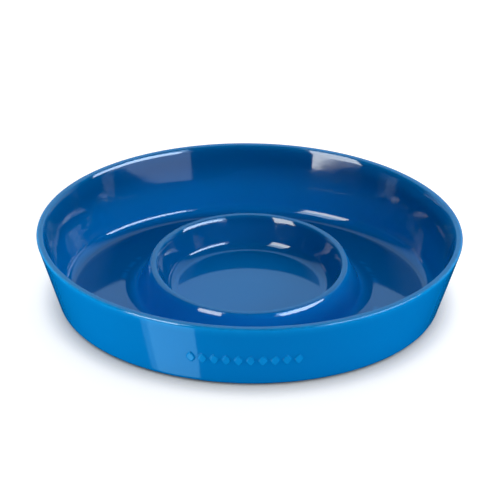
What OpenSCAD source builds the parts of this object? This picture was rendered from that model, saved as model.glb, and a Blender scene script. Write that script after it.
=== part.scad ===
// Chip and dip server: an oval stoneware dish with a round dip cup moulded into
// its middle. The clay body stands on a bare foot ring and is glazed all over.
// Origin: on the table, under the centre of the cup. +Z is up, +X is the long way.

/* [Dish] */
// Length of the dish over the rim, along X
dish_l = 320; // [300:1:340]
// Width of the dish over the rim, along Y
dish_w = 278; // [270:1:300]
// Height of the rim above the table
dish_h = 59; // [50:1:70]
// How far the outer wall leans in from the rim to the foot
wall_lean = 17; // [12:0.5:20]
// Width of the rim, from its outer edge to the top of its eased inner lip
rim_t = 4.6; // [4:0.1:6]
// How far the inner lip eases in below the rim, measured level
lip_in = 1.4; // [1:0.1:1.8]
// How far the inner lip reaches down from the rim
lip_h = 2.7; // [2:0.1:3.5]
// Thickness of the wall just above the floor, measured level
wall_foot_t = 5.9; // [5:0.1:8]
// Radius of the rim's outer edge
rim_r = 1.5; // [0.8:0.1:1.9]
// Radius of the inner edge of the rim and of the cup's rim
lip_top_r = 1.3; // [0.8:0.1:1.5]
// Radius where an inner lip runs into the wall below it
lip_foot_r = 8; // [4:0.5:10]
// Radius of the rounded edge at the bottom of the outer wall
heel_r = 5.5; // [3:0.5:7]
// Height of the channel's floor above the table
floor_z = 5.6; // [5:0.1:8]
// Radius in the corner between the channel's floor and the wall
floor_r = 9; // [4:0.5:10]

/* [Dip cup] */
// Radius of the cup's rim at its inner edge
cup_rim_r = 70.4; // [66:0.1:72]
// Width of the cup's rim between its inner and outer edges
cup_rim_t = 4; // [3.6:0.1:5]
// Height of the cup's rim above the table
cup_h = 32; // [28:0.5:36]
// How far the cup's inner lip eases in below its rim, measured level
cup_lip_in = 1.5; // [1:0.1:1.8]
// How far the cup's inner lip reaches down from its rim
cup_lip_h = 2.5; // [2:0.1:3.5]
// How far the cup's outer shoulder eases out below its rim, measured level
cup_shoulder_out = 2; // [1.4:0.1:2.4]
// How far the cup's outer shoulder reaches down from its rim
cup_shoulder_h = 3.2; // [2.6:0.1:4]
// Radius of the outer edge of the cup's rim
cup_edge_r = 2; // [1:0.1:2.2]
// Radius where the shoulder runs into the outer slope
cup_shoulder_r = 11; // [6:0.5:12]
// Radius of the cup at its floor, before the corner is rounded
cup_floor_r = 61; // [57:0.5:62]
// Height of the cup's floor above the table
cup_floor_z = 7.6; // [7:0.1:10]
// Radius in the corner between the cup's floor and its wall
cup_corner_r = 8.5; // [4:0.5:10]
// Radius at which the outer slope would meet the channel's floor, without its fillet
cup_foot_r = 87; // [85:0.5:89]
// Radius of the fillet at the foot of the outer slope
cup_fillet_r = 13; // [6:0.5:14]

/* [Foot and underside] */
// Distance of the foot ring's outer side from the rim's outer edge
foot_inset = 24; // [23:0.5:26]
// Width of the foot ring
foot_w = 6; // [4:0.5:7]
// Height of the glazed heel above the table, outside the foot ring
heel_z = 0.8; // [0.5:0.1:1.4]
// Height of the glazed underside above the table, inside the foot ring
under_z = 1.5; // [1:0.1:1.9]
// Thickness of clay between the cup's slopes and the hollow under them
cup_wall_t = 5.5; // [5:0.1:7]
// Height of the top of that hollow above the table
hollow_h = 19; // [12:0.5:20]

/* [Glaze] */
// Thickness of the glaze
glaze_t = 0.4; // [0.3:0.05:0.6]

/* [Front relief] */
// Number of raised lozenges in the row on the front wall
relief_n = 10; // [1:1:13]
// Distance from one lozenge to the next
relief_pitch = 8.8; // [8:0.1:10]
// Width of a lozenge
relief_w = 6.2; // [4:0.1:7]
// Height of a lozenge, along the wall
relief_h = 10.5; // [6:0.5:12]
// How far a lozenge stands out of the wall
relief_out = 0.8; // [0.6:0.1:1.2]
// Height of the row's middle above the table
relief_z = 27; // [22:1:38]

/* [Hidden] */
$fn = 180;

glaze_blue = [0.0, 0.36, 0.66];
clay_buff = [0.80, 0.74, 0.64];

// Straight pieces in each rounded corner of an outline
arc_n = 10;

// The plan is a four-centre oval: two end arcs about (+-arc_c, 0) and two side
// arcs about (0, +-arc_c), which meet on lines at 45 degrees.
arc_c = (dish_l - dish_w) / 2 * (1 + 1 / sqrt(2));
end_r = dish_l / 2 - arc_c;
side_r = dish_w / 2 + arc_c;

// Every wall outline is drawn as [distance in from the rim's outer edge, height].
// The swept part and the cup's turned part meet on a cylinder in the channel's
// floor. The outlines run on past it, to plate_in, and are cut there.
plate_r = 98;
plate_in = dish_l / 2 - plate_r + 4;

// The outer wall's lean, and how far its line runs past the rim's rounded edge
lean = atan2(wall_lean, dish_h - heel_z);
rim_over = rim_r * (tan(lean) + 1 / cos(lean) - 1);
// The outer wall's distance in from the rim's outer edge, at a height
function wall_out(z) = (dish_h - z) * tan(lean) - rim_over;
// Where the wall's inner face would meet the channel's floor
wall_in = wall_out(floor_z) + wall_foot_t;

// Outlines of the glazed surfaces: [x, z, radius of that corner]
wall_path = [
    [plate_in, floor_z, 0],
    [wall_in, floor_z, floor_r],
    [rim_t + lip_in, dish_h - lip_h, lip_foot_r],
    [rim_t, dish_h, lip_top_r],
    [wall_out(dish_h), dish_h, rim_r],
    [wall_out(heel_z), heel_z, heel_r],
    [foot_inset, heel_z, 0]
];
cup_edge = cup_rim_r + cup_rim_t;
in_top = [cup_rim_r - cup_lip_in, cup_h - cup_lip_h];
out_top = [cup_edge + cup_shoulder_out, cup_h - cup_shoulder_h];
cup_path = [
    [0, cup_floor_z, 0],
    [cup_floor_r, cup_floor_z, cup_corner_r],
    [in_top[0], in_top[1], lip_foot_r],
    [cup_rim_r, cup_h, lip_top_r],
    [cup_edge, cup_h, cup_edge_r],
    [out_top[0], out_top[1], cup_shoulder_r],
    [cup_foot_r, floor_z, cup_fillet_r],
    [plate_r, floor_z, 0]
];

// The hollow under the cup keeps cup_wall_t of clay between it and the slopes
in_slope = in_top - [cup_floor_r, cup_floor_z];
out_slope = out_top - [cup_foot_r, floor_z];
function in_hollow(z) = cup_floor_r + (z - cup_floor_z) * in_slope[0] / in_slope[1]
    + cup_wall_t * norm(in_slope) / in_slope[1];
function out_hollow(z) = cup_foot_r + (z - floor_z) * out_slope[0] / out_slope[1]
    - cup_wall_t * norm(out_slope) / out_slope[1];
hollow_r = 1;
under_path = [
    [0, under_z, 0],
    [in_hollow(under_z), under_z, 2],
    [in_hollow(hollow_h), hollow_h, hollow_r],
    [out_hollow(hollow_h), hollow_h, hollow_r],
    [out_hollow(under_z), under_z, 2],
    [plate_r, under_z, 0]
];

function flat(v) = [v[0], v[1]];
function unit(v) = v / norm(v);
function left_of(v) = [-v[1], v[0]];
function side(p, i) = unit(flat(p[i + 1]) - flat(p[i]));
// +1 where the path turns left at corner i, -1 where it turns right
function turn(p, i) = sign(side(p, i - 1) * -left_of(side(p, i)));

// The path moved sideways by t, to its left, with its corner radii to suit
function moved(p, t) = [for (i = [0 : len(p) - 1])
    let(
        last = len(p) - 1,
        a = left_of(side(p, max(i - 1, 0))),
        b = left_of(side(p, min(i, last - 1))),
        q = flat(p[i]) + t * (a + b) / (1 + a * b),
        r = p[i][2] == 0 ? 0 : p[i][2] - t * turn(p, i)
    ) [q[0], q[1], r]];

// The points of a path, each corner rounded by an arc of its own radius
function rounded(p) = [for (i = [0 : len(p) - 1])
    let(r = p[i][2], c = flat(p[i]))
    each r == 0 ? [c] : let(
        u = -side(p, i - 1),
        v = side(p, i),
        half = acos(u * v) / 2,
        mid = c + unit(u + v) * r / sin(half),
        start = c + u * r / tan(half) - mid,
        sweep = turn(p, i) * (180 - 2 * half)
    ) [for (k = [0 : arc_n])
        let(a = sweep * k / arc_n)
        mid + [start[0] * cos(a) - start[1] * sin(a),
               start[0] * sin(a) + start[1] * cos(a)]]];

function reversed(v) = [for (i = [len(v) - 1 : -1 : 0]) v[i]];

// Sweeps a wall outline round the oval: one turned sector for each of its four arcs
module round_oval() {
    difference() {
        for (s = [0, 180]) {
            rotate(s) translate([arc_c, 0]) rotate_extrude(angle = 90, start = -45)
                translate([end_r, 0]) mirror([1, 0]) children();
            rotate(s) translate([0, -arc_c]) rotate_extrude(angle = 90, start = 45)
                translate([side_r, 0]) mirror([1, 0]) children();
        }
        translate([0, 0, -1]) cylinder(r = plate_r, h = dish_h);
    }
}

// The row of lozenges on the front wall, from depth into the glazed surface to
// out in front of it, each drawn grow larger all round
module relief(depth, out, grow) {
    r = side_r - wall_out(relief_z);
    step = relief_pitch / r * 180 / PI;
    half_w = relief_w / 2 + grow;
    half_h = relief_h / 2 + grow;
    for (i = [0 : relief_n - 1])
        translate([0, arc_c, relief_z]) rotate((i - (relief_n - 1) / 2) * step)
            translate([0, -r, 0]) rotate([90 + lean, 0, 0])
                translate([0, 0, -depth]) linear_extrude(depth + out)
                    polygon([[-half_w, 0], [0, -half_h], [half_w, 0], [0, half_h]]);
}

// Fired clay: the whole dish and cup, less the glaze, with the bare foot ring
module stoneware_body() {
    wall_top = rounded(moved(wall_path, glaze_t));
    cup_top = rounded(moved(cup_path, -glaze_t));
    cup_under = rounded(moved(under_path, glaze_t));
    foot_edge = 0.5;
    color(clay_buff) union() {
        round_oval() polygon(concat(wall_top, [
            [foot_inset, foot_edge],
            [foot_inset + foot_edge, 0],
            [foot_inset + foot_w - foot_edge, 0],
            [foot_inset + foot_w, foot_edge],
            [foot_inset + foot_w, under_z + glaze_t],
            [plate_in, under_z + glaze_t]
        ]));
        rotate_extrude() polygon(concat(cup_top, reversed(cup_under)));
        relief(3, relief_out - glaze_t, 0);
    }
}

// Coloured glaze: one skin over the channel, cup, rim and outer wall, ending at
// the outer side of the foot ring
module glaze_coat() {
    color(glaze_blue) difference() {
        union() {
            round_oval() polygon(concat(rounded(wall_path),
                reversed(rounded(moved(wall_path, glaze_t)))));
            rotate_extrude() polygon(concat(rounded(cup_path),
                reversed(rounded(moved(cup_path, -glaze_t)))));
            relief(glaze_t * 0.75, relief_out, glaze_t);
        }
        relief(3, relief_out - glaze_t, 0);
    }
}

// The same glaze on the underside, inside the foot ring and up into the hollow
module base_glaze() {
    color(glaze_blue) union() {
        round_oval() translate([foot_inset + foot_w, under_z])
            square([plate_in - foot_inset - foot_w, glaze_t]);
        rotate_extrude() polygon(concat(rounded(under_path),
            reversed(rounded(moved(under_path, glaze_t)))));
    }
}

stoneware_body();
glaze_coat();
base_glaze();
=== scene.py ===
"""Chip and dip server: its glaze and bare clay, the studio and the camera round the CAD frame."""

import math

import bmesh
import bpy
import numpy as np
from mathutils import Matrix, Vector, noise


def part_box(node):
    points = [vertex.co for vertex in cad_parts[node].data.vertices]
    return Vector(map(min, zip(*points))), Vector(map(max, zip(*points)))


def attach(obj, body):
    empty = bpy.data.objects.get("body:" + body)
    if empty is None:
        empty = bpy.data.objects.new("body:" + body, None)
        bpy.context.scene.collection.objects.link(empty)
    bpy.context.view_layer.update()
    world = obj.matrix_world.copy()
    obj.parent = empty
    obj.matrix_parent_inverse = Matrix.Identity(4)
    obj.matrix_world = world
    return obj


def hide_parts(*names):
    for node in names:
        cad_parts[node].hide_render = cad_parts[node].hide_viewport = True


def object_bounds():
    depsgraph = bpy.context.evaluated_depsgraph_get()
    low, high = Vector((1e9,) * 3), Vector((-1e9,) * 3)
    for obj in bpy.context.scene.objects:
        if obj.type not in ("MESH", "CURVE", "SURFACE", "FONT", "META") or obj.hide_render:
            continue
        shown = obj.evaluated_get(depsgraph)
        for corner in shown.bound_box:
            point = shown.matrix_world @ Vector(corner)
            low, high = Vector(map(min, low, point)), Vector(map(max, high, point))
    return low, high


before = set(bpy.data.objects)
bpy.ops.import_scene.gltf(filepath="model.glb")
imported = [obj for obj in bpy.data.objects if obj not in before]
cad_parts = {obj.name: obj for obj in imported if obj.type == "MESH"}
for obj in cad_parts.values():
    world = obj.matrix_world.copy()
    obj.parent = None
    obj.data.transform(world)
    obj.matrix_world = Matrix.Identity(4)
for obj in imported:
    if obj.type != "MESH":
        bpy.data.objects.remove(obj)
cad_low, cad_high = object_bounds()
MM = 0.001

# --- Driving sizes, in mm: the CAD's values, but for floor_r and cup_corner_r, which are larger
# here because the glaze pools in those two corners ------------------------------------------
half_l = cad_high.x / MM
half_w = cad_high.y / MM
dish_h = cad_high.z / MM
under_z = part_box("base_glaze")[0].z / MM
heel_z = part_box("glaze_coat")[0].z / MM

# The outer wall, the rim with its inner lip, the heel, and the channel's floor
wall_lean = 17.0
wall_foot_t = 5.9
rim_t = 4.6
rim_r = 1.5
lip_in = 1.4
lip_h = 2.7
lip_top_r = 1.3
lip_foot_r = 8.0
heel_r = 5.5
floor_z = 5.6
floor_r = 12.0

# The dip cup: its rim and lip, its outer shoulder, its floor, and its foot in the channel
cup_rim_r = 70.4
cup_rim_t = 4.0
cup_h = 32.0
cup_lip_in = 1.5
cup_lip_h = 2.5
cup_shoulder_out = 2.0
cup_shoulder_h = 3.2
cup_edge_r = 2.0
cup_shoulder_r = 11.0
cup_floor_r = 61.0
cup_floor_z = 7.6
cup_corner_r = 9.5
cup_foot_r = 87.0
cup_fillet_r = 13.0

# The foot ring, the hollow under the cup's slopes, and the glaze
foot_inset = 24.0
foot_w = 6.0
foot_edge = 0.5
cup_wall_t = 5.5
hollow_h = 19.0
hollow_foot_r = 2
hollow_r = 1
glaze_t = 0.4

# The row of raised lozenges on the front wall
relief_n = 10
relief_pitch = 8.8
relief_w = 6.2
relief_h = 10.5
relief_out = 0.8
relief_z = 27.0

# The turned middle gives way to the oval between these two edges of the channel's floor: a
# radius, and a distance in from the rim, where the CAD's outline runs on further
plate_r = 98.0
plate_in = 38.0

# --- How finely the skins are cut, in mm but for the counts -----------------------------------
columns = 288
plain_columns = columns * 2 // 3
line_step = 3.4
clay_step = 6
hidden_step = 12
# A straight's first and last steps are short, so the rounding beside it stays crisp
end_step = 0.8
# An arc's step, and the radius at which it has doubled
arc_step = 0.55
arc_step_doubles = 8
least_arc_parts = 5
hidden_arc_parts = 4
# Where a floor's middle ends and its loops begin, as a share of cup_floor_r
top_middle = 0.75
under_middle = 0.5
# Steps from the turned middle to the oval
top_steps = 7
under_steps = 6
same_place = 1e-6


def unit(v):
    return v / np.linalg.norm(v)


def left_of(v):
    """A flat vector turned a quarter turn to its left."""
    return np.array([-v[1], v[0]])


def ramp(value, start, end):
    """0 at start and 1 at end, straight between them and level beyond them."""
    return np.clip((value - start) / (end - start), 0, 1)


def hump(value, start, full_from, full_to, end):
    """0 outside start and end, and 1 between full_from and full_to."""
    return ramp(value, start, full_from) * ramp(value, end, full_to)


def smooth(x):
    """Eases a value that goes from 0 to 1, at both its ends."""
    return x * x * (3 - 2 * x)


# --- Outlines: [x, z, corner radius] ----------------------------------------------------------
lean = math.atan2(wall_lean, dish_h - heel_z)
rim_over = rim_r * (math.tan(lean) + 1 / math.cos(lean) - 1)


def wall_out(z):
    """Distance of the outer wall in from the rim's outer edge, at a height."""
    return (dish_h - z) * math.tan(lean) - rim_over


wall_path = [
    (plate_in, floor_z, 0),
    (wall_out(floor_z) + wall_foot_t, floor_z, floor_r),
    (rim_t + lip_in, dish_h - lip_h, lip_foot_r),
    (rim_t, dish_h, lip_top_r),
    (wall_out(dish_h), dish_h, rim_r),
    (wall_out(heel_z), heel_z, heel_r),
    (foot_inset, heel_z, 0),
]
cup_edge = cup_rim_r + cup_rim_t
in_top = (cup_rim_r - cup_lip_in, cup_h - cup_lip_h)
out_top = (cup_edge + cup_shoulder_out, cup_h - cup_shoulder_h)
cup_path = [
    (0, cup_floor_z, 0),
    (cup_floor_r, cup_floor_z, cup_corner_r),
    (*in_top, lip_foot_r),
    (cup_rim_r, cup_h, lip_top_r),
    (cup_edge, cup_h, cup_edge_r),
    (*out_top, cup_shoulder_r),
    (cup_foot_r, floor_z, cup_fillet_r),
    (plate_r, floor_z, 0),
]


def hollow_side(foot, top, clay, z):
    """Radius at a height of a cup's slope from foot to top, moved out by a thickness of clay."""
    run, rise = top[0] - foot[0], top[1] - foot[1]
    return foot[0] + (z - foot[1]) * run / rise + clay * math.hypot(run, rise) / rise


def in_hollow(z):
    """Radius of the side of the hollow that is nearer the middle."""
    return hollow_side((cup_floor_r, cup_floor_z), in_top, cup_wall_t, z)


def out_hollow(z):
    """Radius of the side of the hollow that is nearer the channel."""
    return hollow_side((cup_foot_r, floor_z), out_top, -cup_wall_t, z)


under_path = [
    (0, under_z, 0),
    (in_hollow(under_z), under_z, hollow_foot_r),
    (in_hollow(hollow_h), hollow_h, hollow_r),
    (out_hollow(hollow_h), hollow_h, hollow_r),
    (out_hollow(under_z), under_z, hollow_foot_r),
    (plate_r, under_z, 0),
]


def eased(path):
    """Where each corner's rounding starts and ends, and the centre and radius of its arc."""
    corner = np.array([p[:2] for p in path], float)
    out = []
    for i, (_, _, r) in enumerate(path):
        if r == 0:
            out.append((corner[i], corner[i], None, 0))
            continue
        u = unit(corner[i - 1] - corner[i])
        v = unit(corner[i + 1] - corner[i])
        half = math.acos(float(np.clip(u @ v, -1, 1))) / 2
        reach = r / math.tan(half)
        centre = corner[i] + unit(u + v) * r / math.sin(half)
        out.append((corner[i] + u * reach, corner[i] + v * reach, centre, r))
    return out


def arc(start, end, centre, r, fine):
    """Points and left-hand normals along a rounding."""
    first = math.atan2(*(start - centre)[::-1])
    last = math.atan2(*(end - centre)[::-1])
    sweep = (last - first + math.pi) % (2 * math.pi) - math.pi
    parts = hidden_arc_parts
    if fine:
        steps = abs(sweep) * r / arc_step / (1 + r / arc_step_doubles)
        parts = max(least_arc_parts, math.ceil(steps))
    places = []
    for k in range(parts + 1):
        a = first + sweep * k / parts
        out = np.array([math.cos(a), math.sin(a)])
        places.append((centre + r * out, -out * math.copysign(1, sweep)))
    return places


def straight(start, end, spacing, fine):
    """Points and left-hand normals along a straight."""
    along = end - start
    length = np.linalg.norm(along)
    steps = list(np.linspace(0, 1, max(1, math.ceil(length / spacing)) + 1))
    if fine and length > 4 * end_step:
        steps += [end_step / length, 1 - end_step / length]
    return [(start + along * k, left_of(along) / length) for k in sorted(steps)]


def rounded(path, spacing=line_step):
    """Points and left-hand normals along a path, with its corners rounded and its straights cut up.

    A wider spacing than line_step is for hidden skins, and makes the arcs coarse too."""
    fine = spacing == line_step
    corners = eased(path)
    places = []
    for i, (start, end, centre, r) in enumerate(corners):
        if r > 0:
            places += arc(start, end, centre, r, fine)
        if i < len(corners) - 1:
            places += straight(end, corners[i + 1][0], spacing, fine)
    kept = places[:1]
    for place in places[1:]:
        if np.linalg.norm(kept[-1][0] - place[0]) > same_place:
            kept.append(place)
    return np.array([p for p, _ in kept]), np.array([n for _, n in kept])


def moved(path, t):
    """A path moved to its left by t, with its corner radii to suit."""
    corner = np.array([p[:2] for p in path], float)
    side = [left_of(unit(b - a)) for a, b in zip(corner, corner[1:])]
    out = []
    for i, (_, _, r) in enumerate(path):
        a, b = side[max(i - 1, 0)], side[min(i, len(side) - 1)]
        place = corner[i] + t * (a + b) / (1 + a @ b)
        turn = np.sign(a[0] * b[1] - a[1] * b[0])
        out.append((*place, 0 if r == 0 else r - t * turn))
    return out


# --- Rings: one loop of points round the dish for each point of an outline --------------------
def angles(n):
    return np.arange(n) * 2 * math.pi / n


def rim_oval(theta):
    """The rim's outer edge where its outward normal points along theta."""
    c, s = np.cos(theta), np.sin(theta)
    reach = np.sqrt((half_l * c) ** 2 + (half_w * s) ** 2)
    slide = (half_w ** 2 - half_l ** 2) * c * s / reach
    return np.stack([reach * c - slide * s, reach * s + slide * c], 1)


def cup_ring(n, p, normal):
    """A round loop at radius p[0]; the normal is [outward, up]."""
    t = angles(n)
    c, s = np.cos(t), np.sin(t)
    loop = np.stack([p[0] * c, p[0] * s, np.full(n, p[1])], 1)
    return loop, np.stack([normal[0] * c, normal[0] * s, np.full(n, normal[1])], 1)


def wall_ring(n, p, normal):
    """An oval loop p[0] in from the rim's edge; the normal is [inward, up]."""
    t = angles(n)
    c, s = np.cos(t), np.sin(t)
    xy = rim_oval(t) - p[0] * np.stack([c, s], 1)
    loop = np.concatenate([xy, np.full((n, 1), p[1])], 1)
    return loop, np.stack([-normal[0] * c, -normal[0] * s, np.full(n, normal[1])], 1)


def between(first, last, steps):
    """The loops that turn one loop into another over a flat floor."""
    return [((1 - k / steps) * first[0] + k / steps * last[0], first[1])
            for k in range(1, steps)]


def upper_rings(n, inset, spacing=line_step):
    """The glazed side from the cup's floor to the foot ring, inset into the clay by inset."""
    points, normals = rounded(moved(cup_path, -inset), spacing)
    keep = points[:, 0] > cup_floor_r * top_middle
    cup = [cup_ring(n, p, q) for p, q in zip(points[keep], normals[keep])]
    points, normals = rounded(moved(wall_path, inset), spacing)
    wall = [wall_ring(n, p, -q) for p, q in zip(points, normals)]
    return cup + between(cup[-1], wall[0], top_steps) + wall


def under_rings(n, inset, edge):
    """The underside from its middle to edge, measured in from the rim; inset as above."""
    points, normals = rounded(moved(under_path, inset))
    keep = points[:, 0] > cup_floor_r * under_middle
    middle = [cup_ring(n, p, -q) for p, q in zip(points[keep], normals[keep])]
    last = wall_ring(n, (edge, under_z + inset), (0, -1))
    return middle + between(middle[-1], last, under_steps) + [last]


# --- Closed skins -----------------------------------------------------------------------------
def cap(loop, n):
    """A round loop's inside as a square grid of quads bent to fill the circle."""
    side = n // 4
    radius, z = np.linalg.norm(loop[0, :2]), loop[0, 2]
    line = math.sqrt(2) * np.sin(np.linspace(-math.pi / 4, math.pi / 4, side + 1))
    u, v = np.meshgrid(line, line, indexing="ij")
    x = u * np.sqrt(1 - v ** 2 / 2)
    y = v * np.sqrt(1 - u ** 2 / 2)
    return np.stack([radius * x, radius * y, np.full_like(x, z)], -1)


def cap_border(side):
    """Grid places round a cap's edge, in the order of a loop's columns from theta = 0."""
    right = [(side, j) for j in range(side)]
    top = [(i, side) for i in range(side, 0, -1)]
    left = [(0, j) for j in range(side, 0, -1)]
    bottom = [(i, 0) for i in range(side)]
    loop = right + top + left + bottom
    return loop[side // 2:] + loop[:side // 2]


def vessel(rings):
    """Points, normals and quads of a closed skin: the loops, and a cap on the first and the last.

    The loops' points come first, then the inside of each cap."""
    n = len(rings[0][0])
    side = n // 4
    points = [r[0] for r in rings]
    normals = [r[1] for r in rings]
    total = n * len(rings)
    faces = []
    for k in range(len(rings) - 1):
        for i in range(n):
            j = (i + 1) % n
            faces.append((k * n + i, k * n + j, (k + 1) * n + j, (k + 1) * n + i))
    for ring, base, turned in ((rings[0], 0, True), (rings[-1], (len(rings) - 1) * n, False)):
        grid = cap(ring[0], n)
        index = -np.ones((side + 1, side + 1), int)
        for k, (i, j) in enumerate(cap_border(side)):
            index[i, j] = base + k
        inner = index < 0
        count = int(inner.sum())
        index[inner] = total + np.arange(count)
        points.append(grid[inner])
        normals.append(np.tile(ring[1][0], (count, 1)))
        total += count
        for i in range(side):
            for j in range(side):
                quad = (index[i, j], index[i + 1, j], index[i + 1, j + 1], index[i, j + 1])
                faces.append(quad[::-1] if turned else quad)
    points, faces = np.concatenate(points), np.array(faces)
    a, b, c, d = (points[faces[:, k]] for k in range(4))
    volume = np.einsum("ij,ij->i", a, np.cross(b, c) + np.cross(c, d)).sum()
    if volume < 0:
        faces = faces[:, ::-1]
    return points, np.concatenate(normals), faces


def piece(name, points, faces, node):
    """A skin as an object that rides with the dish and stands for a CAD node."""
    mesh = bpy.data.meshes.new(name)
    mesh.from_pydata((points * MM).tolist(), [], faces.tolist())
    mesh.validate()
    mesh.shade_smooth()
    obj = bpy.data.objects.new(name, mesh)
    bpy.context.scene.collection.objects.link(obj)
    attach(obj, "root")
    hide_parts(node)
    return obj


# --- The glaze's own surface: slow waves, a bow at the back, and the raised lozenges ----------
# How far the surface lies under its nominal place, and the length and height of its waves
wave_under = 0.05
long_wave, long_wave_h = 31, 0.035
short_wave, short_wave_h = 13, 0.010
short_wave_shift = Vector((7, 3, 1))

# How far the inner wall bows in at the back, and where: start, full from, full to and end
bow_in = 0.8
bow_least_y = 60
bow_x = (-122, -66, -30, -8)
bow_z = (9, 31, dish_h - 25, dish_h - 1)

# Direction of the middle of the front wall
FRONT = -math.pi / 2
# Radius of the wall's curve at the front, at the height of the row
relief_radius = half_l ** 2 / half_w - wall_out(relief_z)
# The shape of a lozenge's outline, which would be a rhombus at 1 and an ellipse at 2
lozenge_power = 1.35
# How far in from its outline a lozenge has risen to its full height, as a share of the way
lozenge_slope = 0.28
# How far past the row the wall's faces are cut, beside it and above and below it, and how
# many times each edge of theirs is cut
cut_beside = 3
cut_above = 2
cuts = 10
# Points are set on the wall's true surface a little past the cut faces: this much further
# above and below them, and this many times as far beside the row's middle
settle_above = 4
settle_beside = 1.2
# The front wall lies beyond this place along Y, its normals reach this far along Y or further,
# and its outer skin lies within this distance of its true surface
front_y = -0.8 * half_w
forwards = -0.5
skin_gap = 0.6 * glaze_t
# Steps in which the direction at a point of the wall is found
solve_steps = 6


def wave(p):
    """How far a point of the glazed surface stands out of its nominal place; always less than 0."""
    slow = noise.noise(Vector(p) / long_wave)
    quick = noise.noise(Vector(p) / short_wave + short_wave_shift)
    return -wave_under + long_wave_h * slow + short_wave_h * quick


def bow(p, normal):
    """A slight bow into the channel that the inner wall has at the back, left of the middle."""
    if p[1] < bow_least_y or normal[1] > 0 or math.hypot(p[0], p[1]) < plate_r:
        return 0.0
    return bow_in * smooth(hump(p[0], *bow_x)) * hump(p[2], *bow_z)


def relief_height(theta, up):
    """How far the row stands out at a direction, up mm along the wall from its middle."""
    place = (theta - FRONT) * relief_radius / relief_pitch + (relief_n - 1) / 2
    nearest = min(max(round(place), 0), relief_n - 1)
    across = abs(place - nearest) * relief_pitch / (relief_w / 2 + glaze_t)
    along = abs(up) / (relief_h / 2 + glaze_t)
    inside = 1 - (across ** lozenge_power + along ** lozenge_power) ** (1 / lozenge_power)
    return relief_out * smooth(ramp(inside, 0, lozenge_slope))


def wall_direction(p):
    """Direction of the outward normal at a point of the outer wall near its front."""
    t = math.atan2(p[1] * half_l ** 2, p[0] * half_w ** 2)
    for _ in range(solve_steps):
        ring = rim_oval(np.array([t]))[0] - wall_out(p[2]) * np.array([math.cos(t), math.sin(t)])
        along = np.array([-math.sin(t), math.cos(t)])
        t += float((np.array(p[:2]) - ring) @ along) / relief_radius
    return t


def wall_surface(theta, z):
    """A point and the outward normal of the outer wall's plain stretch."""
    c, s = math.cos(theta), math.sin(theta)
    xy = rim_oval(np.array([theta]))[0] - wall_out(z) * np.array([c, s])
    return np.array([*xy, z]), np.array([c * math.cos(lean), s * math.cos(lean), -math.sin(lean)])


def add_relief(obj):
    """Cuts the front wall's faces round the lozenges finely and raises them."""
    mesh = obj.data
    bm = bmesh.new()
    bm.from_mesh(mesh)
    raised_layer = bm.verts.layers.float.new("raised")
    reach = (relief_n * relief_pitch / 2 + cut_beside) / relief_radius
    tall = relief_h / 2 + cut_above

    edges = {}
    for face in bm.faces:
        mid = face.calc_center_median() / MM
        if mid.y > front_y or face.normal.y > forwards or abs(mid.z - relief_z) >= tall:
            continue
        if abs(wall_direction(mid) - FRONT) < reach:
            edges.update(dict.fromkeys(face.edges))
    bmesh.ops.subdivide_edges(bm, edges=list(edges), cuts=cuts, use_grid_fill=True)

    for v in bm.verts:
        p = v.co / MM
        if p.y > front_y or abs(p.z - relief_z) > tall + settle_above:
            continue
        theta = wall_direction(p)
        if abs(theta - FRONT) > reach * settle_beside:
            continue
        place, normal = wall_surface(theta, p.z)
        if abs((np.array(p) - place) @ normal) > skin_gap:
            continue
        raised = relief_height(theta, (p.z - relief_z) / math.cos(lean))
        v[raised_layer] = raised / relief_out
        v.co = Vector((place + normal * (raised + wave(place))) * MM)
    bm.to_mesh(mesh)
    bm.free()
    mesh.shade_smooth()


# --- Where the glaze is thin, and the painted light and painted shade in its colour -----------
# The glaze's thinness on the rounded rims and on the cup's rim, and the raised lozenges' paleness,
# partly thin glaze and partly a painted highlight
RIM_THIN = 0.5
CUP_RIM_THIN = 0.4
RELIEF_THIN_AND_HIGHLIGHT = 0.55
# Heights, in mm, of the rounded rims' band of thin glaze and of the band of painted light down the
# outside of the outer wall, which faces outwards by more than this part of its normal
rim_band = 1.8
painted_light_band = 8
faces_out = 0.1
# How far down the cup's thinnest line lies, and how far from the middle of its rim that counts
cup_rim_drop = 0.5
cup_rim_reach = 8

# Painted shade and painted light in the glaze's colour, where 1, the most painted light, is low on
# the cup's outside: high on the inner wall and on the channel's floor; low on the inner wall; on the
# cup's inner wall; and everywhere else
LIT_LEAST = 0.05
LIT_WALL_FOOT = 0.65
LIT_CUP_WALL = 0.16
LIT_PLAIN = 0.31
# The upward part of a surface's normal: it is fully steep at this or less, level above that
steep_up = 0.65
level_up = 0.9
# The inner wall's colour goes from painted shade at one height to painted light at the other, lower
# down; the channel's floor lies below the third height, and the cup's floor below the fourth
shaded_top, lit_foot = 50, 22
channel_top = 20
cup_floor_top = cup_floor_z + 0.6


def rim_thinning_and_painted_light(points, normals):
    """How thin the glaze runs over the rims, from 0 to 1, with a band of painted light down the top of
    the outer wall's outside.
    """
    radial = np.linalg.norm(points[:, :2], axis=1)
    z = points[:, 2]
    outward = normals[:, 0] * points[:, 0] + normals[:, 1] * points[:, 1] > faces_out * radial
    at_rim = RIM_THIN * ramp(z, dish_h - rim_band, dish_h)
    # Painted light: a band down the top of the outer wall's outside, brightest at the rim
    painted_light_down_wall = ramp(z, dish_h - painted_light_band, dish_h) ** 2 * outward * (radial > plate_r)
    near_cup = np.abs(radial - (cup_rim_r + cup_rim_t / 2)) < cup_rim_reach
    at_cup = CUP_RIM_THIN * ramp(np.abs(z - (cup_h - cup_rim_drop)), rim_band, 0) * near_cup
    return np.maximum(np.maximum(at_rim, painted_light_down_wall), at_cup)


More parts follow.
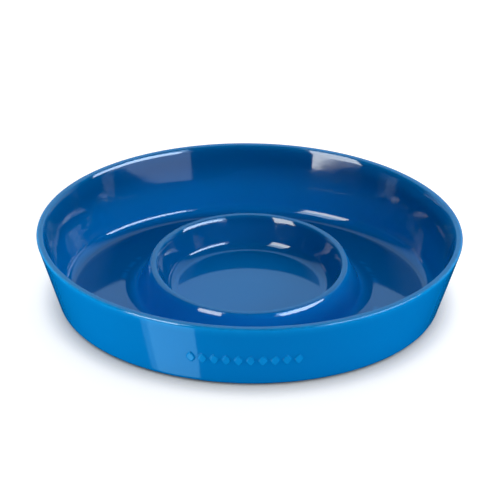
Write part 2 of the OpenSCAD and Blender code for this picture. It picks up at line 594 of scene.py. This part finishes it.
def painted_light_level(points, normals):
    """Painted light and shade in the glaze's colour, from 0 to 1: most painted light down the cup's
    outside.
    """
    radial = np.linalg.norm(points[:, :2], axis=1)
    z = points[:, 2]
    outward = normals[:, 0] * points[:, 0] + normals[:, 1] * points[:, 1]
    steep = ramp(normals[:, 2], 1, steep_up)
    inner_wall = LIT_LEAST + (LIT_WALL_FOOT - LIT_LEAST) * smooth(ramp(z, shaded_top, lit_foot)) * steep
    cup_side = LIT_LEAST + (1 - LIT_LEAST) * steep
    in_cup = np.where(z < cup_floor_top, LIT_PLAIN, LIT_CUP_WALL)
    channel = (radial > plate_r) & (normals[:, 2] > level_up) & (z < channel_top)
    lit_level = np.where(outward < 0, inner_wall, LIT_PLAIN)
    lit_level = np.where(channel, LIT_LEAST, lit_level)
    lit_level = np.where(radial < plate_r, cup_side, lit_level)
    return np.where(radial < cup_rim_r + cup_rim_t / 2, in_cup, lit_level)


def add_field(mesh, name, values):
    field = mesh.attributes.new(name, "FLOAT", "POINT")
    field.data.foreach_set("value", values.astype(np.float32))


# --- The three pieces -------------------------------------------------------------------------
def glaze_coat():
    """The glaze over the whole upper side and the outer wall, down to the foot ring."""
    outer = upper_rings(columns, 0)
    inner = upper_rings(columns, glaze_t, hidden_step)
    points, normals, faces = vessel(outer + inner[::-1])
    first_cap = len(outer + inner) * columns
    cap_points = (columns // 4 - 1) ** 2
    for i in np.r_[:len(outer) * columns, first_cap:first_cap + cap_points]:
        points[i] += normals[i] * (wave(points[i]) + bow(points[i], normals[i]))
    obj = piece("glaze_coat_skin", points, faces, "glaze_coat")
    add_relief(obj)
    mesh = obj.data
    places = np.empty((len(mesh.vertices), 3), np.float32)
    facing = np.empty_like(places)
    raised = np.empty(len(places), np.float32)
    mesh.vertices.foreach_get("co", places.ravel())
    mesh.vertex_normals.foreach_get("vector", facing.ravel())
    mesh.attributes["raised"].data.foreach_get("value", raised)
    # Pale glaze: thin on the rims and the cup's rim, painted light down the top of the outer wall, and
    # on the lozenges partly thin glaze and partly a painted highlight
    thin = np.maximum(rim_thinning_and_painted_light(places / MM, facing), RELIEF_THIN_AND_HIGHLIGHT * raised)
    add_field(mesh, "thin_glaze_and_painted_light", thin)
    # Painted light and painted shade over the glaze, by place and by how steep it is
    add_field(mesh, "painted_light_level", painted_light_level(places / MM, facing))
    return obj


def base_glaze():
    """The glaze over the underside, inside the foot ring."""
    edge = foot_inset + foot_w
    lower = under_rings(plain_columns, 0, edge)
    upper = under_rings(plain_columns, glaze_t, edge)
    points, _, faces = vessel(lower + upper[::-1])
    obj = piece("base_glaze_skin", points, faces, "base_glaze")
    # The underside's glaze takes the plain colour, with no painted light or shade
    add_field(obj.data, "painted_light_level", np.full(len(points), LIT_PLAIN))
    return obj


def clay_body():
    """The clay under the glaze, which shows only on the foot ring."""
    top = upper_rings(plain_columns, glaze_t, clay_step)
    foot_in = foot_inset + foot_w
    foot = [(foot_inset, foot_edge), (foot_inset + foot_edge, 0), (foot_inset + foot_w / 2, 0),
            (foot_in - foot_edge, 0), (foot_in, foot_edge)]
    ring = [wall_ring(plain_columns, p, (0, -1)) for p in foot]
    under = under_rings(plain_columns, glaze_t, foot_in)
    points, _, faces = vessel(top + ring + under[::-1])
    return piece("stoneware_clay", points, faces, "stoneware_body")


# --- Materials --------------------------------------------------------------------------------
# The glaze's colour runs from painted shade to painted light; its plain colour lies between the two
GLAZE_PAINTED_SHADE = (0.0, 0.100, 0.330)
GLAZE_PAINTED_LIGHT = (0.0, 0.255, 0.76)
GLAZE_CLOUD = (0.0, 0.144, 0.430)
# Pale glaze where it runs thin, also used for the painted light down the outer wall and the lozenges'
# painted highlight
GLAZE_THIN_AND_LIT = (0.004, 0.26, 0.66)
CLAY = (0.56, 0.45, 0.33)
CLAY_DARK = (0.40, 0.30, 0.21)
CLAY_SPECK = (0.16, 0.10, 0.06)
# Noise scales, in cells a metre: the glaze's drifts of colour, the breaks in its pale bands of
# thin glaze and painted light, its duller patches, its orange peel and its pinholes; then the clay's
# mottle, specks, sanded patches and grain
CLOUDS, BREAKS, DULL_PATCHES, PEEL, PINHOLES = 22, 160, 60, 230, 1400
MOTTLE, SPECKS, SANDED_PATCHES, GRAIN = 90, 1900, 400, 2600
# The middle part of a noise's range, which holds nearly all of it
SPREAD = (0.3, 0.7)
GLAZE_ROUGHNESS = (0.035, 0.075)
CLAY_ROUGHNESS = (0.72, 0.95)
# Depths of the glaze's peel and pinholes and of the clay's grain, in metres
GLAZE_BUMP = 0.02 * MM
CLAY_BUMP = 0.12 * MM


def put(tree, socket, value):
    """Links an output to a socket, or sets the socket to a number or a colour."""
    if isinstance(value, bpy.types.NodeSocket):
        tree.links.new(value, socket)
    elif isinstance(value, tuple):
        socket.default_value = (*value, 1)
    else:
        socket.default_value = value


def new_node(tree, kind, inputs):
    node = tree.nodes.new("ShaderNode" + kind)
    for name, value in inputs.items():
        put(tree, node.inputs[name], value)
    return node


def noise_node(tree, place, scale, detail):
    inputs = {"Vector": place, "Scale": scale, "Detail": detail}
    return new_node(tree, "TexNoise", inputs).outputs["Fac"]


def range_node(tree, value, low, high, to_low=0.0, to_high=1.0):
    inputs = {"Value": value, "From Min": low, "From Max": high, "To Min": to_low, "To Max": to_high}
    return new_node(tree, "MapRange", inputs).outputs["Result"]


def product_node(tree, a, b):
    node = new_node(tree, "Math", {0: a, 1: b})
    node.operation = "MULTIPLY"
    return node.outputs[0]


def attribute_node(tree, name):
    node = new_node(tree, "Attribute", {})
    node.attribute_name = name
    return node.outputs["Fac"]


def mix_node(tree, factor, a, b):
    """One colour turned into another by a factor."""
    node = tree.nodes.new("ShaderNodeMix")
    node.data_type = "RGBA"
    put(tree, node.inputs["Factor"], factor)
    for name, value in (("A", a), ("B", b)):
        put(tree, next(i for i in node.inputs if i.name == name and i.type == "RGBA"), value)
    return next(o for o in node.outputs if o.type == "RGBA")


def ramp_node(tree, value, stops):
    """A colour ramp from (position, colour) pairs."""
    node = new_node(tree, "ValToRGB", {"Fac": value})
    elements = node.color_ramp.elements
    while len(elements) < len(stops):
        elements.new(1.0)
    for element, (position, colour) in zip(elements, stops):
        element.position = position
        element.color = (*colour, 1)
    return node.outputs["Color"]


def bump_node(tree, height, distance, strength, before=None):
    """A bump, added to the one before it if there is one; the distance is in metres."""
    inputs = {"Height": height, "Distance": distance, "Strength": strength}
    if before is not None:
        inputs["Normal"] = before
    return new_node(tree, "Bump", inputs).outputs["Normal"]


def new_material(name):
    material = bpy.data.materials.new(name)
    material.use_nodes = True
    tree = material.node_tree
    return material, tree, tree.nodes["Principled BSDF"].inputs


def glaze_material():
    """Thick glossy coloured glaze, clouded a little, with painted shade and painted light in its colour;
    paler over the rims where it runs thin, with painted light down the outer wall's top, and paler on
    the lozenges, partly thin glaze and partly a painted highlight.
    """
    material, tree, surface = new_material("blue_glaze")
    place = new_node(tree, "TexCoord", {}).outputs["Object"]

    cloud = noise_node(tree, place, CLOUDS, 4)
    # The glaze's colour, from painted shade to painted light, by place
    run = mix_node(tree, attribute_node(tree, "painted_light_level"), GLAZE_PAINTED_SHADE, GLAZE_PAINTED_LIGHT)
    colour = mix_node(tree, range_node(tree, cloud, *SPREAD, 0.16, 0.0), run, GLAZE_CLOUD)
    broken = range_node(tree, noise_node(tree, place, BREAKS, 3), 0.25, 0.75, 0.55, 1.0)
    # Paler where the glaze runs thin and where light is painted on, broken up a little by noise
    thinning_and_painted_light = product_node(tree, attribute_node(tree, "thin_glaze_and_painted_light"), broken)
    put(tree, surface["Base Color"], mix_node(tree, thinning_and_painted_light, colour, GLAZE_THIN_AND_LIT))

    gloss = noise_node(tree, place, DULL_PATCHES, 3)
    put(tree, surface["Roughness"], range_node(tree, gloss, *SPREAD, *GLAZE_ROUGHNESS))
    put(tree, surface["IOR"], 1.5)

    peel = bump_node(tree, noise_node(tree, place, PEEL, 2), GLAZE_BUMP, 0.5)
    pits = range_node(tree, noise_node(tree, place, PINHOLES, 1), 0.20, 0.30)
    put(tree, surface["Normal"], bump_node(tree, pits, GLAZE_BUMP, 0.35, peel))
    return material


def clay_material():
    """Bare fired stoneware: buff, specked, sanded on the foot."""
    material, tree, surface = new_material("bare_clay")
    place = new_node(tree, "TexCoord", {}).outputs["Object"]

    stops = tuple(zip(SPREAD, (CLAY_DARK, CLAY)))
    body = ramp_node(tree, noise_node(tree, place, MOTTLE, 5), stops)
    speck = range_node(tree, noise_node(tree, place, SPECKS, 2), 0.66, 0.72)
    put(tree, surface["Base Color"], mix_node(tree, speck, body, CLAY_SPECK))

    sanded = noise_node(tree, place, SANDED_PATCHES, 3)
    put(tree, surface["Roughness"], range_node(tree, sanded, *SPREAD, *CLAY_ROUGHNESS))
    grain = noise_node(tree, place, GRAIN, 4)
    put(tree, surface["Normal"], bump_node(tree, grain, CLAY_BUMP, 0.8))
    return material


# --- Studio: a white table that shines by itself, so that it fades into the white behind it ----
FLOOR_COLOUR = (0.53, 0.51, 0.47)
FLOOR_GLOW = 0.75
FLOOR_RADIUS = 1.35
# A painted contact shadow: the floor's glow fades where the dish is nearer than this, in metres,
# between these shares of open space round the point
PAINTED_SHADOW_REACH = 0.026
PAINTED_SHADOW_SHARES = (0.13, 0.78)
# What the glaze mirrors behind the dish and above the table, and where that fades in, as the
# backward and the upward part of a direction
BACKDROP = (0.58, 1.0, 1.5)
BEHIND = (0.15, 0.35)
ABOVE = (-0.05, 0.05)
WHITE = (1, 1, 1)
BLACK = (0, 0, 0)

UP = Vector((0, 0, 1))
centre = (cad_low + cad_high) / 2


def floor_material():
    """Matt white that glows, with a painted shadow where ambient occlusion dims its glow in the narrow
    gap round the dish's heel.
    """
    material, tree, surface = new_material("studio_floor")
    painted_shadow_ao = new_node(tree, "AmbientOcclusion", {"Distance": PAINTED_SHADOW_REACH})
    painted_shadow_ao.samples = 8
    # Painted shadow: the glow dims with ambient occlusion round the heel
    glow = range_node(tree, painted_shadow_ao.outputs["AO"], *PAINTED_SHADOW_SHARES, 0.0, FLOOR_GLOW)
    put(tree, surface["Base Color"], FLOOR_COLOUR)
    put(tree, surface["Roughness"], 0.9)
    put(tree, surface["Specular IOR Level"], 0.1)
    put(tree, surface["Emission Color"], WHITE)
    put(tree, surface["Emission Strength"], glow)
    return material


def add_floor():
    """A round table top, small enough to have no horizon in a low view."""
    bm = bmesh.new()
    bmesh.ops.create_circle(bm, cap_ends=True, cap_tris=False, segments=128, radius=FLOOR_RADIUS)
    mesh = bpy.data.meshes.new("studio_floor")
    bm.to_mesh(mesh)
    bm.free()
    mesh.materials.append(floor_material())
    floor = bpy.data.objects.new("studio_floor", mesh)
    bpy.context.scene.collection.objects.link(floor)
    floor.visible_glossy = False


def background(tree, colour, strength):
    return new_node(tree, "Background", {"Color": colour, "Strength": strength}).outputs[0]


def mix_shader(tree, factor, a, b):
    return new_node(tree, "MixShader", {0: factor, 1: a, 2: b}).outputs[0]


def add_world():
    """White to the camera, dark to matt surfaces, and a pale backdrop behind the dish in reflections."""
    world = bpy.data.worlds.new("studio")
    bpy.context.scene.world = world
    world.use_nodes = True
    tree = world.node_tree
    tree.nodes.clear()
    ray = new_node(tree, "LightPath", {}).outputs
    way = new_node(tree, "TexCoord", {}).outputs["Generated"]
    part = new_node(tree, "SeparateXYZ", {0: way}).outputs
    behind = range_node(tree, part["Y"], *BEHIND)
    above = range_node(tree, part["Z"], *ABOVE)
    mirrored = background(tree, BACKDROP, product_node(tree, behind, above))
    lit = mix_shader(tree, ray["Is Glossy Ray"], background(tree, BLACK, 1.0), mirrored)
    shown = mix_shader(tree, ray["Is Camera Ray"], lit, background(tree, WHITE, 1.0))
    new_node(tree, "OutputWorld", {"Surface": shown})


def direction_to(azimuth, elevation):
    """Unit vector towards a place round the dish: azimuth 0 is in front, 90 to the right."""
    a, e = math.radians(azimuth), math.radians(elevation)
    return Vector((math.sin(a) * math.cos(e), -math.cos(a) * math.cos(e), math.sin(e)))


def lamp(name, width, height, power, place, axes, glossy):
    """A rectangular area light, seen either by matt surfaces or only in reflections."""
    light = bpy.data.lights.new(name, "AREA")
    light.shape = "RECTANGLE"
    light.size, light.size_y = width, height
    light.energy = power
    obj = bpy.data.objects.new(name, light)
    bpy.context.scene.collection.objects.link(obj)
    obj.location = place
    obj.rotation_euler = Matrix(axes).transposed().to_euler()
    obj.visible_camera = False
    obj.visible_glossy = glossy
    obj.visible_diffuse = not glossy
    return light


def softbox(name, azimuth, elevation, distance, width, height, power):
    """A soft light that faces the dish and lights its matt colour."""
    back = direction_to(azimuth, elevation)
    side = UP.cross(back).normalized()
    lamp(name, width, height, power, centre + back * distance, (side, back.cross(side), back), False)


def panel(name, azimuth, distance, span, heights, radiance, colour=WHITE, glossy=True):
    """An upright panel that faces the dish; span runs rightwards and heights upwards, in metres."""
    width, height = span[1] - span[0], heights[1] - heights[0]
    back = direction_to(azimuth, 0)
    right = direction_to(azimuth + 90, 0)
    place = back * distance + right * sum(span) / 2 + UP * sum(heights) / 2
    power = radiance * math.pi * width * height
    light = lamp(name, width, height, power, place, (UP.cross(back), UP, back), glossy)
    light.color = colour


def add_lights():
    """Soft lights for the matt colour, and the panels that show in the glaze.

    A panel for reflections stays out of the plane of one for matt colour, which would hide it."""
    left, right, low = -43, 44, -53
    box_span = (-0.346, 0.36)
    low_heights = (-1.80, -0.50)
    low_blue = (0.28, 0.72, 1.0)
    skirt_green = (0.84, 1.0, 0.88)
    softbox("overhead", 0, 89, 1.6, 0.8, 0.8, 5.1)
    softbox("front", 0, 35, 1.5, 1.0, 0.8, 3.6)
    panel("back_wall", 180, 1.6, (-1.6, 1.6), (0.05, 2.6), 1.8, glossy=False)
    panel("right_strip_glow", right, 1.5, (-0.21, 1.5), (0.53, 0.92), 5.4, glossy=False)
    for side, azimuth, radiance in (("left", -75, 53), ("right", 75, 27)):
        panel(side + "_skirt_glow", azimuth, 1.5, (-0.6, 0.6), (0.005, 0.12), radiance,
              skirt_green, glossy=False)

    panel("left_box", left, 1.5, box_span, (0.13, 1.20), 11.5, (0.95, 1.0, 0.98))
    panel("left_box_top", left, 1.5, box_span, (1.20, 2.10), 6.5, (0.70, 0.92, 1.0))
    panel("left_box_foot", left, 1.5, box_span, (-0.10, 0.13), 2.0, (1.0, 0.92, 0.80))
    panel("right_strip", right, 1.45, (-0.21, 1.5), (0.53, 0.90), 16.0, (0.60, 0.78, 1.0))
    panel("right_strip_edge", right, 1.48, (-0.30, 1.5), (0.85, 1.10), 7.0, (0.45, 0.72, 1.0))
    panel("right_screen", right, 1.52, (-0.39, 1.0), (-0.10, 0.90), 2.1, (0.65, 0.78, 1.0))
    panel("low_card", low, 0.9, (-0.19, 0.30), low_heights, 1.9, low_blue)
    panel("low_card_edge", low, 0.9, (-0.26, -0.19), low_heights, 0.9, low_blue)


def turned(a, b, angle):
    """Two unit vectors at a right angle, both turned from the first towards the second."""
    c, s = math.cos(math.radians(angle)), math.sin(math.radians(angle))
    return a * c + b * s, b * c - a * s


def add_camera():
    """A long lens about 31 degrees above the table, a little to the right of straight ahead."""
    lens = 201.6
    distance = 2.117
    azimuth, elevation = 1.2, 30.962
    aim_height = 0.030
    aim_right, aim_down, roll = -0.012, 0.283, 0.539
    back = direction_to(azimuth, elevation)
    forward = -back
    right = forward.cross(UP).normalized()
    up = right.cross(forward)
    right, forward = turned(right, forward, aim_right)
    forward, up = turned(forward, up, aim_down)
    right, up = turned(right, up, roll)
    data = bpy.data.cameras.new("camera")
    data.lens = lens
    data.sensor_width = 36.0
    data.clip_start, data.clip_end = 0.05, 50
    camera = bpy.data.objects.new("camera", data)
    bpy.context.scene.collection.objects.link(camera)
    camera.location = UP * aim_height + back * distance
    camera.rotation_euler = Matrix((right, up, -forward)).transposed().to_euler()
    bpy.context.scene.camera = camera


blue_glaze = glaze_material()
bare_clay = clay_material()
for make, node, material in ((glaze_coat, "glaze_coat", blue_glaze),
                             (base_glaze, "base_glaze", blue_glaze),
                             (clay_body, "stoneware_body", bare_clay)):
    make().data.materials.append(material)
    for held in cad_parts[node].material_slots:
        held.material = material

add_floor()
add_world()
add_camera()
add_lights()
bpy.context.scene.view_settings.view_transform = "Standard"
